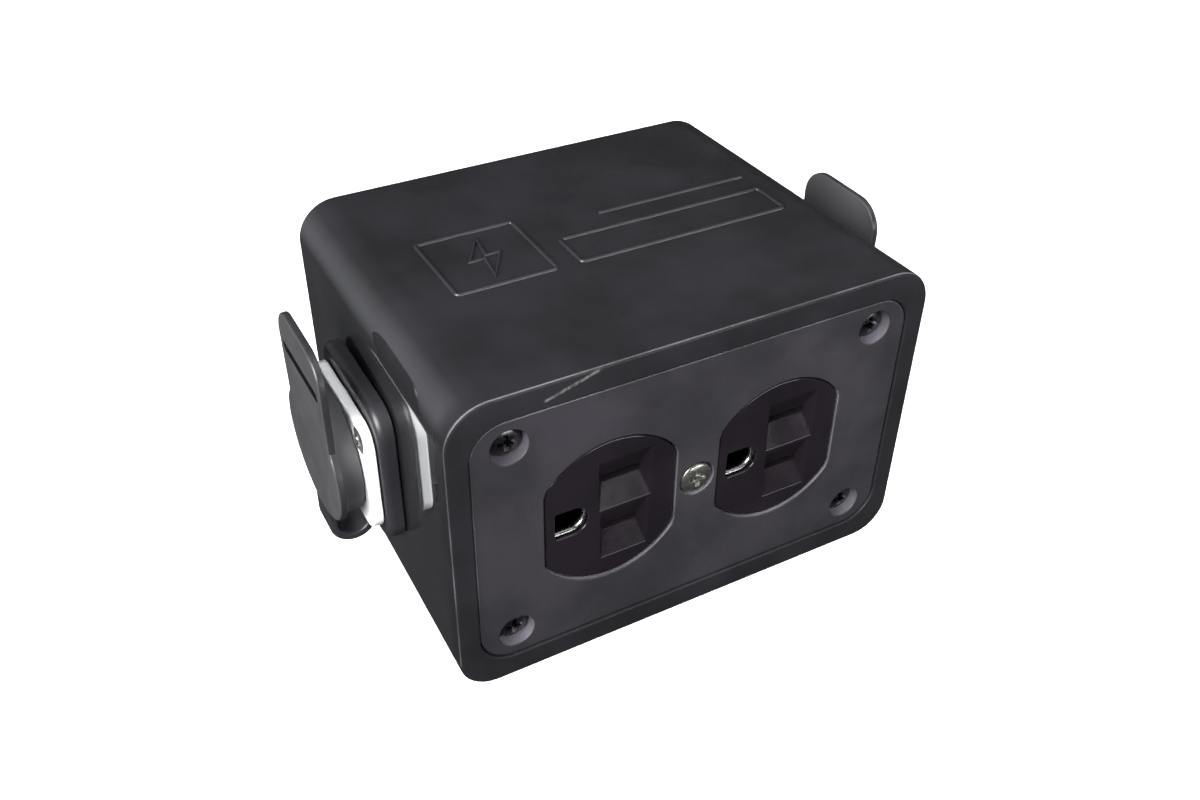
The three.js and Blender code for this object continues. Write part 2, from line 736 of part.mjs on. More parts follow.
addSolid(box, 'receptacle_face', makeReceptacleFace(), glossBlack);
addSolid(box, 'receptacle_base', makeReceptacleBase(), glossBlack);
addSolid(box, 'receptacle_yoke', makeYoke(), steel);
addSolid(box, 'neutral_bus', makeBus(1), brass);
addSolid(box, 'hot_bus', makeBus(-1), brass);
[-1, 1].forEach((side, index) => {
  addSolid(box, `receptacle_ground_clip_${index + 1}`, makeGroundClip(side), brass);
  const yokeScrew = addPiece(box, `yoke_screw_${index + 1}`, screwSolid(2.8, 1, 11), steel);
  placeScrew(yokeScrew, 'front', side * yokeScrewX, yokeFront - gap, duplexZ);
  const top = duplexZ + baseHeight / 2 + gap;
  const bottom = duplexZ - baseHeight / 2 - gap;
  const silver = addPiece(box, `neutral_terminal_screw_${index + 1}`, screwSolid(3.5, 2, 4), steel);
  placeScrew(silver, 'up', side * terminalX, terminalY, top);
  const gold = addPiece(box, `hot_terminal_screw_${index + 1}`, screwSolid(3.5, 2, 4), brass);
  placeScrew(gold, 'down', side * terminalX, terminalY, bottom);
});
const groundScrew = addPiece(box, 'ground_screw', screwSolid(3.5, 2, 5), greenSteel);
placeScrew(groundScrew, 'down', groundScrewX, terminalY, duplexZ - baseHeight / 2 - gap);

for (const [name, turn] of [['right', 0], ['left', Math.PI]]) {
  const side = new THREE.Group();
  side.rotation.z = turn;
  box.add(side);
  addSolid(side, `${name}_seal_frame`, makeSealFrame(), softRubber);
  addSolid(side, `${name}_connector_flange`, makeConnectorFlange(), whiteNylon);
  addSolid(side, `${name}_socket_insert`, makeSocketInsert(), greyNylon);
  for (const [wire, place] of Object.entries(contactPlaces)) {
    addSolid(side, `${name}_${wire}_contact`, makeContact(place), brass);
  }
  connectorScrews.forEach(([y, z], index) => {
    const screw = addPiece(side, `${name}_flange_screw_${index + 1}`, screwSolid(flangeHeadRadius, flangeHeadHeight, 16), steel);
    placeScrew(screw, 'side', flangeOuter - flangeHeadHeight, y, z);
    addSolid(side, `${name}_flange_nut_${index + 1}`, makeNut([y, z]), steel);
  });
  addSolid(side, `${name}_lid`, makeLid(), softRubber);
  addSolid(side, `${name}_strap_root`, makeStrapRoot(), softRubber);
  addSolid(side, `${name}_strap_tip`, makeStrapTip(), softRubber);
}

for (const [name, side] of [['right', 1], ['left', -1]]) {
  addPiece(box, `${name}_neutral_wire`, mainWire(side, 1), whiteWire);
  addPiece(box, `${name}_line_wire`, mainWire(side, -1), blackWire);
  addPiece(box, `${name}_ground_wire`, groundWire(side), greenWire);
}
addPiece(box, 'ground_pigtail', groundPigtail(), greenWire);
addPiece(box, 'wire_nut', wireNutGeometry(), redNylon);

export default box;
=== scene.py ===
import json
import math

import bmesh
import bpy
from mathutils import Matrix, Vector


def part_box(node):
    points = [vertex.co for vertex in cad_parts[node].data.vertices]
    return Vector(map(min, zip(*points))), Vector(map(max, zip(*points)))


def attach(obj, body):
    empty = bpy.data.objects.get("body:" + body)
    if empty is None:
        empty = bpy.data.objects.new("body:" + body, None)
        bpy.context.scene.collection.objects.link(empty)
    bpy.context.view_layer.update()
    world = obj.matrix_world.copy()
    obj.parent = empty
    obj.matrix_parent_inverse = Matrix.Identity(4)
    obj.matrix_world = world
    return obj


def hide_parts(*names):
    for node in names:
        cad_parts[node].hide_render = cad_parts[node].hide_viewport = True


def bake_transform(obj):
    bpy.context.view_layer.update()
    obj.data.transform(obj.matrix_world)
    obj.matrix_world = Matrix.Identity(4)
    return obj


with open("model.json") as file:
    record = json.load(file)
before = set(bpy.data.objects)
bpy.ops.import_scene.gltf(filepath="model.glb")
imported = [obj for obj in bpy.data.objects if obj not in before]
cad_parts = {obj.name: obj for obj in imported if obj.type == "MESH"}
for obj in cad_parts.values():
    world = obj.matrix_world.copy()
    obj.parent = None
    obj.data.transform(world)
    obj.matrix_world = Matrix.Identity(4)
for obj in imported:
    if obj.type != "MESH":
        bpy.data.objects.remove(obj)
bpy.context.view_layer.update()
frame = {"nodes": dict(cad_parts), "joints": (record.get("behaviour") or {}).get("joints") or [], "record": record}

# Shapes are drawn in millimetres and scaled to metres when a mesh is made.
# GAP is the clearance that neighbouring solids keep, and PAST is how far a cutter or a joined
# solid runs through the surface that it has to cross.
MM = 1000.0
CORNER_STEPS = 14
EDGE_STEPS = 4
TURN_STEPS = 64
GAP = 0.3
PAST = 1.0
SHARPEST_MITRE = 0.3


# ---- places measured on the frame, in millimetres ----
def measured(node):
    """Lowest and highest corner of a CAD node, in millimetres."""
    low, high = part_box(node)
    return low * MM, high * MM


def middle(node):
    """Centre of a CAD node's box, in millimetres."""
    low, high = measured(node)
    return (low + high) / 2


HOUSING_LOW, HOUSING_HIGH = measured("housing")
PLATE_LOW, PLATE_HIGH = measured("cover_plate")
FACE_LOW, FACE_HIGH = measured("receptacle_face")
FACE_FRONT = (PLATE_LOW.y + FACE_LOW.y) / 2
FRONT = HOUSING_LOW.y
BACK = HOUSING_HIGH.y
BODY_WIDTH = HOUSING_HIGH.x - HOUSING_LOW.x
DUPLEX_Z = middle("cover_plate").z
BODY_HEIGHT = 2 * DUPLEX_Z
SIDE_DRAFT = 1.3
TOP_DRAFT = 1.0
WALL = 7.0
BODY_CORNER = 9.0
BODY_FOOT_CORNER = 8.0
RIM_EDGE = 0.7

FRAME_LOW, FRAME_HIGH = measured("right_seal_frame")
FLANGE_LOW, FLANGE_HIGH = measured("right_connector_flange")
INSERT_LOW, INSERT_HIGH = measured("right_socket_insert")
LID_LOW, LID_HIGH = measured("right_lid")
CONNECTOR_Z = middle("right_seal_frame").z
HINGE = Vector(next(j for j in frame["joints"] if j["name"] == "right_lid_hinge")["pos_m"]) * MM
FLANGE_BACK = FRAME_HIGH.x + GAP
TUBE_RADIUS = 11.8
BORE_RADIUS = 10.5
LID_THICKNESS = 1.6
SKIRT_RADIUS = 13.5
PLUG_RADIUS = 9.4
STRAP_WIDTH = 8.0
STRAP_THICKNESS = 1.8
FACE_SPACING = 38.9
GROUND_OFFSET = -8.2
SLOT_OFFSET = 3.0
SLOT_SPACING = 12.7
COVER_SCREWS = [f"cover_screw_{number}" for number in (1, 2, 3, 4)]
FLANGE_SCREWS = [f"{side}_flange_screw_{number}" for side in ("right", "left") for number in (1, 2)]
CLEARANCE_RADIUS = 1.9


# ---- outlines, anticlockwise, as (across, up) pairs ----
def rounded_rectangle(width, height, top_radius, foot_radius=None, steps=CORNER_STEPS):
    """A rectangle with round corners; the lower corners may have a radius of their own."""
    foot = top_radius if foot_radius is None else foot_radius
    points = []
    for side, up, radius, start in (
        (1, 1, top_radius, 0), (-1, 1, top_radius, 90), (-1, -1, foot, 180), (1, -1, foot, 270)
    ):
        centre = Vector((side * (width / 2 - radius), up * (height / 2 - radius)))
        for step in range(steps + 1):
            angle = math.radians(start + 90 * step / steps)
            points.append(centre + radius * Vector((math.cos(angle), math.sin(angle))))
    return points


def arc(centre, radius, start, end, steps):
    """Points of an arc between two angles in degrees."""
    points = []
    for step in range(steps + 1):
        angle = math.radians(start + (end - start) * step / steps)
        points.append(Vector(centre) + radius * Vector((math.cos(angle), math.sin(angle))))
    return points


def circle(radius, steps=TURN_STEPS):
    """Points of a full circle round the origin."""
    return arc((0, 0), radius, 0, 360 * (steps - 1) / steps, steps - 1)


def duplex_outline(radius=17.05, half_flat=14.3, corner=0.8, steps=48):
    """A circle with flat left and right sides and softened corners."""
    angle = math.degrees(math.acos(half_flat / radius))
    turn = math.degrees(corner / radius)
    upper = arc((0, 0), radius, angle + turn, 180 - angle - turn, steps)
    lower = arc((0, 0), radius, 180 + angle + turn, 360 - angle - turn, steps)
    height = radius * math.sin(math.radians(angle)) - corner
    left = [Vector((-half_flat, height)), Vector((-half_flat, -height))]
    right = [Vector((half_flat, -height)), Vector((half_flat, height))]
    return upper + left + lower + right


def ground_outline(radius=3.2, length=7.2, corner=0.5, steps=20, corner_steps=4):
    """A slot with a flat left end and a round right end."""
    left = radius - length
    right_end = arc((0, 0), radius, -90, 90, steps)
    upper_left = arc((left + corner, radius - corner), corner, 90, 180, corner_steps)
    lower_left = arc((left + corner, corner - radius), corner, 180, 270, corner_steps)
    return right_end + upper_left + lower_left


def lid_outline(half_width=12.8, corner=7.0, corner_steps=12, notch=2):
    """An oval disc with a straight-sided grip tab above it, which it meets in a slight notch."""
    half_disc = LID_HIGH.y
    drop = CONNECTOR_Z - LID_LOW.z
    top = LID_HIGH.z - CONNECTOR_Z
    angle = math.degrees(math.acos(half_width / half_disc))
    below = arc((0, 0), 1, 180 - notch - angle, 360 + notch + angle, TURN_STEPS)
    disc = [Vector((point.x * half_disc, point.y * drop)) for point in below]
    right_corner = arc((half_width - corner, top - corner), corner, 0, 90, corner_steps)
    left_corner = arc((corner - half_width, top - corner), corner, 90, 180, corner_steps)
    return disc + right_corner + left_corner


def plus_outline(length, thick):
    """The cross of a Phillips recess, from the half length and half thickness of its bars."""
    quarter = [(thick, thick), (thick, length), (-thick, length)]
    points = []
    for turn in range(4):
        spin = Matrix.Rotation(math.radians(90 * turn), 2)
        points.extend(spin @ Vector(point) for point in quarter)
    return points


def grown(outline, distance):
    """The outline moved outwards by a distance, mitred at its corners."""
    result = []
    count = len(outline)
    for index, point in enumerate(outline):
        before = point - outline[index - 1]
        after = outline[(index + 1) % count] - point
        normals = [Vector((edge.y, -edge.x)).normalized() for edge in (before, after)]
        total = normals[0] + normals[1]
        result.append(point + total * (distance / max(total.length_squared / 2, SHARPEST_MITRE)))
    return result


# ---- placing an outline in space ----
def facing_front(centre_x, centre_z):
    """Depth runs along +Y from the front."""
    def place(outline, depth):
        return [Vector((centre_x + p.x, depth, centre_z + p.y)) for p in outline]
    return place


def facing_side(centre_y, centre_z):
    """Depth runs along +X, for the right side; left pieces are turned half round."""
    def place(outline, depth):
        return [Vector((depth, centre_y + p.x, centre_z + p.y)) for p in outline]
    return place


# ---- solids ----
def loft(rings):
    """A closed mesh through rings of equally many points, capped at both ends."""
    mesh = bmesh.new()
    rows = [[mesh.verts.new(point / MM) for point in ring] for ring in rings]
    for lower, upper in zip(rows, rows[1:]):
        for index in range(len(lower)):
            after = (index + 1) % len(lower)
            mesh.faces.new((lower[index], lower[after], upper[after], upper[index]))
    mesh.faces.new(list(reversed(rows[0])))
    mesh.faces.new(rows[-1])
    bmesh.ops.recalc_face_normals(mesh, faces=mesh.faces)
    return mesh


def quarter_round(radius):
    """Both offsets of each ring of a rounded edge; the first grows from 0 as the second shrinks to 0."""
    steps = EDGE_STEPS if radius > 0 else 0
    offsets = []
    for step in range(steps + 1):
        angle = math.radians(90 * step / max(steps, 1))
        offsets.append((radius * (1 - math.cos(angle)), radius * (1 - math.sin(angle))))
    return offsets


def prism(outline, place, low, high, low_edge=0.0, high_edge=0.0):
    """An extruded outline with rounded edges at its low and high ends."""
    levels = [(low + depth, inset) for depth, inset in quarter_round(low_edge)]
    levels.extend((high - depth, inset) for depth, inset in reversed(quarter_round(high_edge)))
    return loft([place(grown(outline, -inset), depth) for depth, inset in levels])


def opening(outline, place, surface, end, edge):
    """A cutter for a hole whose rim at the surface is rounded; it runs on to end."""
    into = 1 if end > surface else -1
    rings = [place(grown(outline, edge), surface - into * PAST)]
    for growth, depth in reversed(quarter_round(edge)):
        rings.append(place(grown(outline, growth), surface + into * depth))
    rings.append(place(outline, end))
    return loft(rings)


def turned(profile, place, steps=TURN_STEPS):
    """A solid turned about its depth axis through (radius, depth) points."""
    return loft([place(circle(radius, steps), depth) for radius, depth in profile])


# ---- objects ----
def as_object(mesh, name):
    """Links a bmesh as an object and frees it."""
    data = bpy.data.meshes.new(name)
    mesh.to_mesh(data)
    mesh.free()
    made = bpy.data.objects.new(name, data)
    bpy.context.scene.collection.objects.link(made)
    return made


def bake(piece):
    """Turns the piece's modifiers into its mesh."""
    graph = bpy.context.evaluated_depsgraph_get()
    baked = bpy.data.meshes.new_from_object(piece.evaluated_get(graph))
    piece.modifiers.clear()
    piece.data = baked


def combine(piece, meshes, operation="DIFFERENCE"):
    """Cuts or joins each bmesh into the piece."""
    tools = [as_object(mesh, "tool") for mesh in meshes]
    for tool in tools:
        step = piece.modifiers.new("combine", "BOOLEAN")
        step.operation = operation
        step.solver = "EXACT"
        step.object = tool
    bake(piece)
    for tool in tools:
        bpy.data.objects.remove(tool)


def tidy(piece, sharp_angle):
    """Merges doubles and shades smooth, with edges sharper than the angle in degrees kept."""
    mesh = bmesh.new()
    mesh.from_mesh(piece.data)
    bmesh.ops.remove_doubles(mesh, verts=mesh.verts, dist=1e-6)
    bmesh.ops.dissolve_degenerate(mesh, edges=mesh.edges, dist=1e-6)
    mesh.to_mesh(piece.data)
    mesh.free()
    piece.data.shade_smooth()
    piece.data.set_sharp_from_angle(angle=math.radians(sharp_angle))
    weighted = piece.modifiers.new("weighted", "WEIGHTED_NORMAL")
    weighted.keep_sharp = True


def soften(piece, width):
    """Small rounded edges on every hard corner."""
    bevel = piece.modifiers.new("bevel", "BEVEL")
    bevel.width = width / MM
    bevel.segments = 2
    bevel.limit_method = "ANGLE"
    bevel.angle_limit = math.radians(40)
    bevel.use_clamp_overlap = True


def dress(piece, body, slot, material, *nodes):
    """Gives a piece its material and body and hides the CAD nodes that it stands for; the slot argument is not
    used.
    """
    piece.data.materials.clear()
    piece.data.materials.append(material)
    if body:
        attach(piece, body)
    if nodes:
        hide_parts(*nodes)


def paint_where(piece, material, test):
    """Gives the polygons that pass a test on centre and normal, in millimetres, another material."""
    piece.data.materials.append(material)
    for polygon in piece.data.polygons:
        if test(polygon.center * MM, polygon.normal):
            polygon.material_index = len(piece.data.materials) - 1


def turn_to_side(piece, side):
    """Left-hand pieces are the right-hand ones turned half round the vertical."""
    if side == "left":
        piece.data.transform(Matrix.Rotation(math.pi, 4, "Z"))


# ---- shader building ----
class Shader:
    """A procedural material under construction."""

    def __init__(self, name):
        self.material = bpy.data.materials.new(name)
        self.material.use_nodes = True
        self.tree = self.material.node_tree
        self.surface = self.tree.nodes["Principled BSDF"]
        self.place = self.add("ShaderNodeTexCoord").outputs["Object"]
        self.height = None

    def add(self, kind, **settings):
        """A new node with its settings."""
        node = self.tree.nodes.new(kind)
        for key, value in settings.items():
            setattr(node, key, value)
        return node

    def wire(self, target, value):
        """Connects an output socket, or sets a plain value."""
        if isinstance(value, bpy.types.NodeSocket):
            self.tree.links.new(value, target)
        else:
            target.default_value = value

    def set(self, **inputs):
        """Wires or sets inputs of the surface; an underscore stands for a space."""
        for key, value in inputs.items():
            self.wire(self.surface.inputs[key.replace("_", " ")], value)

    def axes(self):
        """The X, Y and Z outputs of the place on the piece, in metres."""
        parts = self.add("ShaderNodeSeparateXYZ")
        self.wire(parts.inputs[0], self.place)
        return parts.outputs

    def math(self, operation, first, second=0.0):
        """The result of one operation; those that take one value ignore the second."""
        node = self.add("ShaderNodeMath", operation=operation)
        self.wire(node.inputs[0], first)
        self.wire(node.inputs[1], second)
        return node.outputs[0]

    def noise(self, size, detail=3.0, roughness=0.55, stretch=(1, 1, 1), distortion=0.0):
        """Noise whose features are about size millimetres across."""
        mapping = self.add("ShaderNodeMapping")
        mapping.inputs["Scale"].default_value = stretch
        self.wire(mapping.inputs["Vector"], self.place)
        node = self.add("ShaderNodeTexNoise")
        self.wire(node.inputs["Vector"], mapping.outputs["Vector"])
        node.inputs["Scale"].default_value = MM / size
        node.inputs["Detail"].default_value = detail
        node.inputs["Roughness"].default_value = roughness
        node.inputs["Distortion"].default_value = distortion
        return node.outputs["Fac"]

    def spread(self, value, low, high, to_low=0.0, to_high=1.0):
        """Maps a range of a value onto another, smoothly."""
        node = self.add("ShaderNodeMapRange", interpolation_type="SMOOTHSTEP")
        self.wire(node.inputs["Value"], value)
        node.inputs["From Min"].default_value = low
        node.inputs["From Max"].default_value = high
        node.inputs["To Min"].default_value = to_low
        node.inputs["To Max"].default_value = to_high
        return node.outputs["Result"]

    def patches(self, size, detail=4):
        """Noise with its contrast raised, so that it has plain areas and soft borders."""
        return self.spread(self.noise(size, detail), 0.35, 0.65)

    def blend(self, amount, first, second):
        """A colour between two colours."""
        node = self.add("ShaderNodeMix", data_type="RGBA")
        self.wire(node.inputs["Factor"], amount)
        self.wire(node.inputs[6], first)
        self.wire(node.inputs[7], second)
        return node.outputs[2]

    def bump(self, height, strength, depth):
        """Adds a layer of relief, depth in millimetres."""
        node = self.add("ShaderNodeBump")
        node.inputs["Strength"].default_value = strength
        node.inputs["Distance"].default_value = depth / MM
        self.wire(node.inputs["Height"], height)
        if self.height is not None:
            self.wire(node.inputs["Normal"], self.height)
        self.height = node.outputs["Normal"]
        self.wire(self.surface.inputs["Normal"], self.height)

    def line_distance(self, axes, start, direction):
        """Signed distance in X and Z from a point, measured along a direction."""
        from_x = self.math("MULTIPLY", self.math("SUBTRACT", axes["X"], start.x), direction.x)
        from_z = self.math("MULTIPLY", self.math("SUBTRACT", axes["Z"], start.y), direction.y)
        return self.math("ADD", from_x, from_z)


def grey(value, tint=(1.0, 1.0, 1.0)):
    """A grey with a slight tint, as RGBA."""
    return (value * tint[0], value * tint[1], value * tint[2], 1.0)


COOL = (1.0, 0.94, 1.12)


# ---- materials ----
def moulded(name, dark, light, roughness, grain=0.25, relief=0.02, tint=COOL, gloss=0.5):
    """Moulded rubber or plastic: clouded tone, smudged roughness and a fine grain."""
    shader = Shader(name)
    clouds = shader.math("MULTIPLY", shader.patches(22), 0.6)
    specks = shader.math("MULTIPLY", shader.noise(0.5, 2), 0.4)
    smudge = shader.noise(9, 5, 0.6, distortion=0.6)
    low, high = roughness
    shader.set(
        Base_Color=shader.blend(shader.math("ADD", clouds, specks), grey(dark, tint), grey(light, tint)),
        Roughness=shader.spread(smudge, 0.3, 0.7, low, high),
        Specular_IOR_Level=gloss,
    )
    shader.bump(shader.noise(grain, 3), 0.6, relief)
    shader.bump(shader.noise(6, 2), 0.25, 0.05)
    return shader


def metal(name, colour, roughness):
    """Plated metal with fine scratches along one axis and duller patches."""
    shader = Shader(name)
    scratch = 0.35
    dull = tuple(channel * 0.7 for channel in colour[:3]) + (1.0,)
    low, high = roughness
    shader.set(
        Base_Color=shader.blend(shader.patches(1.6), dull, colour),
        Metallic=1.0,
        Roughness=shader.spread(shader.noise(scratch, 4, stretch=(1, 6, 1)), 0.3, 0.7, low, high),
    )
    shader.bump(shader.noise(scratch, 3, stretch=(1, 5, 1)), 0.4, 0.01)
    return shader.material


def shaded_sleeve_metal(bright_depth=0.5, shade_depth=1.4):
    """The ground sleeve: bright at its mouth, with painted shade darkening it further in, at depths in
    millimetres.
    """
    shader = Shader("shaded_sleeve_metal")
    mouth = measured("receptacle_ground_clip_1")[0].y
    # painted shade: the colour falls to near black deeper in the sleeve
    depth = shader.spread(shader.axes()["Y"], (mouth + bright_depth) / MM, (mouth + shade_depth) / MM)
    patch = shader.patches(0.5)
    bright = shader.blend(patch, grey(0.2), grey(0.36))
    shader.set(
        Base_Color=shader.blend(depth, bright, grey(0.02)),
        Metallic=1.0,
        Roughness=shader.spread(patch, 0.0, 1.0, 0.2, 0.38),
    )
    return shader.material


def insulation(name, dark, light):
    """Wire insulation: soft vinyl with faint lengthwise lines."""
    shader = Shader(name)
    lines = shader.noise(0.6, 3, stretch=(0.2, 1, 1))
    shader.set(Base_Color=shader.blend(lines, dark, light), Roughness=0.45)
    shader.bump(lines, 0.3, 0.02)
    return shader.material


def add_scuff(shader, axes):
    """A pale broken line, about a millimetre wide, across the upper rim at the left of the front."""
    start = Vector((HOUSING_LOW.x + 19.3, BODY_HEIGHT - 3.7)) / MM
    end = Vector((HOUSING_LOW.x + 31.1, BODY_HEIGHT - 0.3)) / MM
    full_width, faded_width = 0.1 / MM, 0.5 / MM
    length = (end - start).length
    along = (end - start).normalized()
    across = shader.line_distance(axes, start, Vector((-along.y, along.x)))
    reached = shader.line_distance(axes, start, along)
    masks = [
        shader.spread(shader.math("ABSOLUTE", across), full_width, faded_width, 1.0, 0.0),
        shader.spread(reached, -0.5 / MM, 0.8 / MM),
        shader.spread(reached, length, length - 2 / MM),
        shader.spread(axes["Y"], (FRONT + 3.5) / MM, (FRONT + 2.5) / MM),
    ]
    amount = shader.spread(shader.noise(0.8, 4), 0.4, 0.6, 0.25, 1.0)
    for mask in masks:
        amount = shader.math("MULTIPLY", amount, mask)
    clean = shader.surface.inputs["Base Color"].links[0].from_socket
    shader.set(Base_Color=shader.blend(shader.math("MULTIPLY", amount, 0.8), clean, grey(0.11)))


def housing_material():
    """The body's rubber: polished side walls behind a dull rim, a dull top and one scuff."""
    shader = moulded("housing_rubber", 0.006, 0.0125, (0.44, 0.56), grain=0.3, gloss=0.2)
    axes = shader.axes()
    add_scuff(shader, axes)
    sideways = shader.math("ABSOLUTE", axes["X"])
    wall_start, wall_end = (HOUSING_HIGH.x - 6) / MM, (HOUSING_HIGH.x - 1) / MM
    on_wall = shader.spread(sideways, wall_start, wall_end, 0.05, 1.0)
    behind_rim = shader.spread(axes["Y"], (FRONT + 1) / MM, (FRONT + 6) / MM, 0.15, 1.0)
    dullness = shader.spread(sideways, wall_start, wall_end, 0.5, 0.0)
    smears = shader.spread(shader.noise(14, 4), 0.3, 0.7, 0.02, 0.06)
    shader.set(
        Coat_Weight=shader.math("MULTIPLY", on_wall, behind_rim),
        Coat_IOR=2.3,
        Coat_Roughness=shader.math("ADD", dullness, smears),
    )
    return shader.material


rubber = housing_material()
# painted highlight: the raised lines on the top get a lighter copy of the housing rubber
raised_sheen_rubber = moulded("raised_sheen_rubber", 0.009, 0.016, (0.28, 0.4), gloss=0.6).material
frame_rubber = moulded("frame_rubber", 0.012, 0.022, (0.3, 0.42), grain=0.2, relief=0.015).material
lid_rubber = moulded("lid_rubber", 0.03, 0.048, (0.5, 0.66), grain=0.2, tint=(1.0, 0.99, 1.06)).material
# wear and painted highlight: a paler rubber for a thin broken line along the upper rounded edges of the rim and
# the cover
worn_highlight_rubber = moulded(
    "worn_highlight_rubber", 0.008, 0.09, (0.4, 0.55), grain=0.2, tint=(1.0, 0.98, 1.04), gloss=0.3).material
# painted shade: near-black rubber laid in the lid's groove
groove_shade_rubber = moulded("groove_shade_rubber", 0.004, 0.007, (0.6, 0.7), gloss=0.1).material
cover_plastic = moulded(
    "cover_plastic", 0.012, 0.024, (0.4, 0.55), grain=0.22, relief=0.014, gloss=0.3).material
cut_plastic = moulded("cut_plastic", 0.03, 0.11, (0.45, 0.6), grain=0.12, relief=0.03).material
glossy_plastic = moulded(
    "receptacle_plastic", 0.004, 0.008, (0.1, 0.18),
    grain=0.5, relief=0.003, tint=(1.1, 0.85, 1.15), gloss=0.4).material
white_nylon = moulded(
    "white_nylon", 0.72, 0.86, (0.38, 0.5), grain=0.4, relief=0.01, tint=(0.98, 0.99, 1.0)).material
grey_nylon = moulded("grey_nylon", 0.16, 0.22, (0.4, 0.55), tint=(1.0, 1.02, 1.06)).material
steel = metal("steel", (0.5, 0.5, 0.46, 1), (0.26, 0.42))
bright_steel = metal("bright_steel", (0.82, 0.82, 0.8, 1), (0.25, 0.4))
shaded_sleeve_steel = shaded_sleeve_metal()
black_screw = metal("black_screw", (0.13, 0.125, 0.135, 1), (0.2, 0.36))
SLOTS = {
    "receptacle_plastic": glossy_plastic,
    "red_nylon": moulded("red_nylon", 0.3, 0.42, (0.4, 0.5), tint=(1.4, 0.22, 0.16)).material,
    "steel": steel,
    "brass": metal("brass", (0.82, 0.6, 0.26, 1), (0.2, 0.35)),
    "green_screw": metal("green_screw", (0.08, 0.4, 0.16, 1), (0.25, 0.4)),
    "black_wire": insulation("black_wire", (0.012, 0.012, 0.014, 1), (0.03, 0.03, 0.032, 1)),
    "white_wire": insulation("white_wire", (0.68, 0.68, 0.66, 1), (0.82, 0.82, 0.8, 1)),
    "green_wire": insulation("green_wire", (0.02, 0.25, 0.07, 1), (0.04, 0.36, 0.12, 1)),
}


# ---- housing ----
def body_top(depth):
    """Height of the top at a depth; it falls a little towards the back."""
    return BODY_HEIGHT - TOP_DRAFT * (depth - FRONT) / (BACK - FRONT)


def body_ring(depth, inset):
    """The body's outline at a depth, drawn in by an inset."""
    share = (depth - FRONT) / (BACK - FRONT)
    width = BODY_WIDTH - 2 * SIDE_DRAFT * share - 2 * inset
    height = body_top(depth) - 2 * inset
    outline = rounded_rectangle(width, height, BODY_CORNER - inset, BODY_FOOT_CORNER - inset)
    return facing_front(0, body_top(depth) / 2)(outline, depth)


def housing_shell(seat_depth):
    """One skin: over the back, round the rim, down to the cover's seat and along the inside."""
    back_edge = 2.2
    seat_edge = 0.35
    seat_margin = 0.5
    seat_width = PLATE_HIGH.x - PLATE_LOW.x + 2 * seat_margin
    seat_height = PLATE_HIGH.z - PLATE_LOW.z + 2 * seat_margin
    seat = rounded_rectangle(seat_width, seat_height, top_radius=7.5)
    inside = rounded_rectangle(BODY_WIDTH - 2 * WALL, BODY_HEIGHT - 2 * WALL, top_radius=4)
    place = facing_front(0, DUPLEX_Z)
    rings = [body_ring(BACK - depth, inset) for depth, inset in quarter_round(back_edge)]
    for depth, inset in reversed(quarter_round(RIM_EDGE)):
        rings.append(body_ring(FRONT + depth, inset))
    for growth, depth in reversed(quarter_round(seat_edge)):
        rings.append(place(grown(seat, growth), FRONT + depth))
    rings.append(place(seat, seat_depth))
    rings.append(place(inside, seat_depth))
    rings.append(place(inside, BACK - WALL))
    return as_object(loft(rings), "housing_shell")


def side_wall_cutters(tube_gap=0.4):
    """Cutters for the connector tubes and the flange screws, through both side walls."""
    far = BODY_WIDTH
    cutters = [prism(circle(TUBE_RADIUS + tube_gap), facing_side(0, CONNECTOR_Z), -far, far)]
    for node in FLANGE_SCREWS:
        centre = middle(node)
        reach = math.copysign(far, centre.x)
        place = facing_side(centre.y, centre.z)
        hole = circle(CLEARANCE_RADIUS, steps=24)
        cutters.append(prism(hole, place, min(0, reach) + PAST, max(0, reach) - PAST))
    return cutters


def screw_boss(node, seat_depth, size=13, corner=5, length=17, outward=0.6):
    """The solid post behind a cover screw, set a little further out than the screw."""
    centre = middle(node)
    shift_x = math.copysign(outward, centre.x)
    shift_z = math.copysign(outward, centre.z - DUPLEX_Z)
    place = facing_front(centre.x + shift_x, centre.z + shift_z)
    return prism(rounded_rectangle(size, size, corner), place, seat_depth, seat_depth + length)


def screw_hole(node, seat_depth, length=15.5):
    """A cutter for a cover screw's hole in its post."""
    centre = middle(node)
    place = facing_front(centre.x, centre.z)
    return prism(circle(CLEARANCE_RADIUS, steps=24), place, seat_depth - PAST, seat_depth + length)


def make_housing():
    """The moulded shell: rounded rims, the seat of the cover and the space inside."""
    seat_depth = PLATE_HIGH.y + GAP
    shell = housing_shell(seat_depth)
    combine(shell, side_wall_cutters())
    combine(shell, [screw_boss(node, seat_depth) for node in COVER_SCREWS], "UNION")
    combine(shell, [screw_hole(node, seat_depth) for node in COVER_SCREWS])
    tidy(shell, 30)
    dress(shell, "box", "housing_rubber", rubber, "housing")
    # wear and painted highlight: a pale line in the middle of the rim's rounded edge, only above the lowest third
    # of the body
    worn_highlight_from, worn_highlight_to = -0.75, -0.4

    def is_worn_highlight(centre, normal):
        slanted = worn_highlight_from < normal.y < worn_highlight_to
        outside = normal.x * centre.x + normal.z * (centre.z - DUPLEX_Z) > 0
        return slanted and outside and centre.y < FRONT + RIM_EDGE and centre.z > DUPLEX_Z / 3

    paint_where(shell, worn_highlight_rubber, is_worn_highlight)


